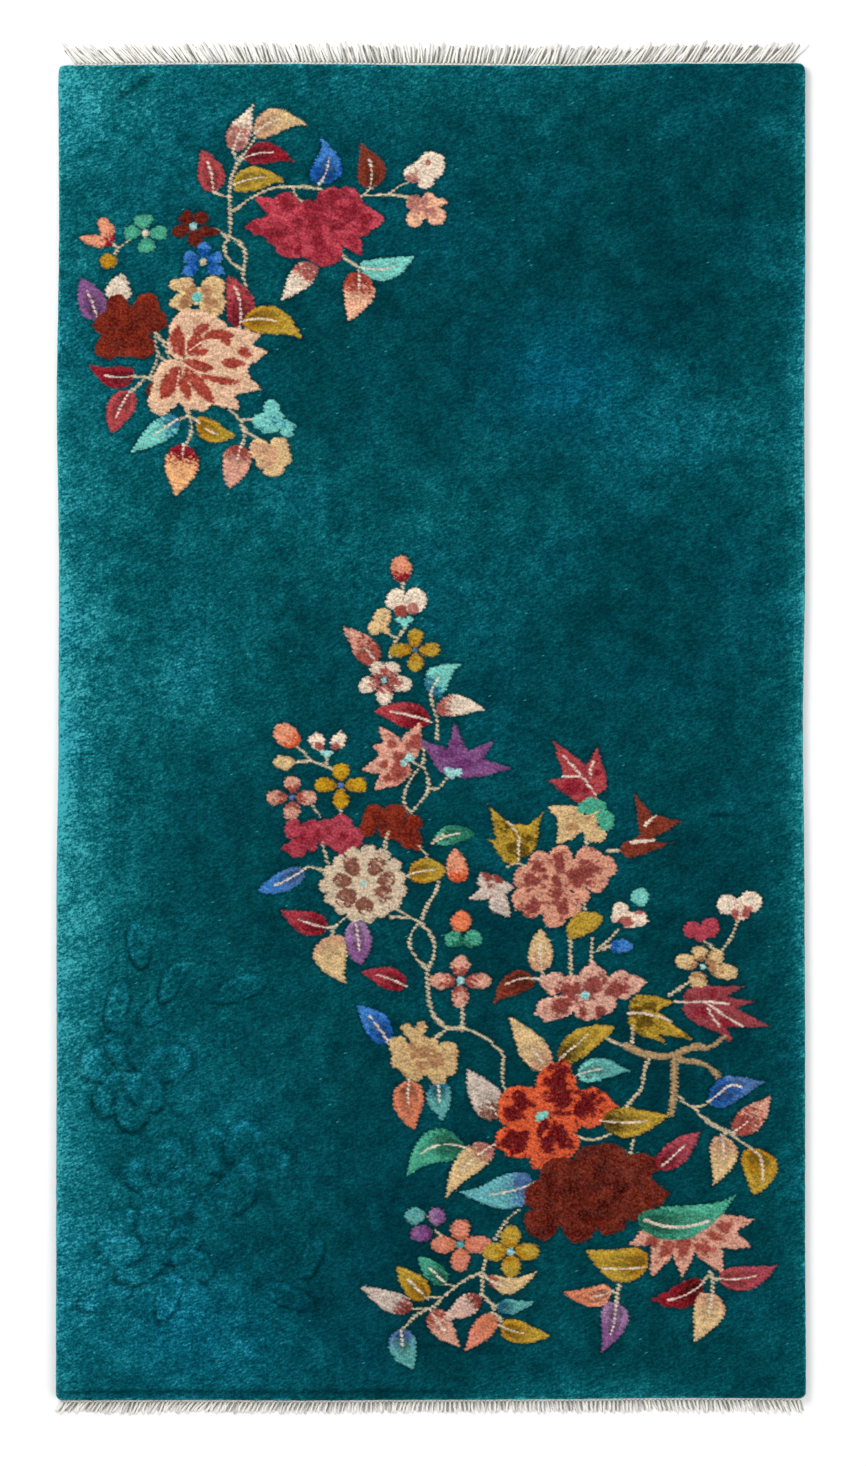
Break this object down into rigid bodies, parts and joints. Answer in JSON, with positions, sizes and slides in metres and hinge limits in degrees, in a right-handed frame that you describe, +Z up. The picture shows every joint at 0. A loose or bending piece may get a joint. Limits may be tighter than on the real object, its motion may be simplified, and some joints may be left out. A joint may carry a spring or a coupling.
{
  "type": "floor rug with end fringes",
  "caption": "Small thick hand-knotted wool rug lying flat, deep teal ground with sprays of coloured flowers and leaves, one self-coloured carved spray and a short cotton fringe at each end",
  "frame": {"origin": "on the floor, under the middle of the rug's box, fringes included", "axes": "+X to the rug's right-hand side, +Y along its length to the top end, +Z up through the pile"},
  "size_m": [0.7514, 1.3714, 0.0133],
  "materials": {
    "wool_pile": "sheared wool pile, soft sheen, deep teal ground with multicoloured flowers",
    "cotton_warp": "off-white cotton yarn, loosely twisted"
  },
  "bodies": {
    "root": {"rug_body": "wool_pile", "fringe_top": "cotton_warp", "fringe_bottom": "cotton_warp"}
  },
  "joints": []
}
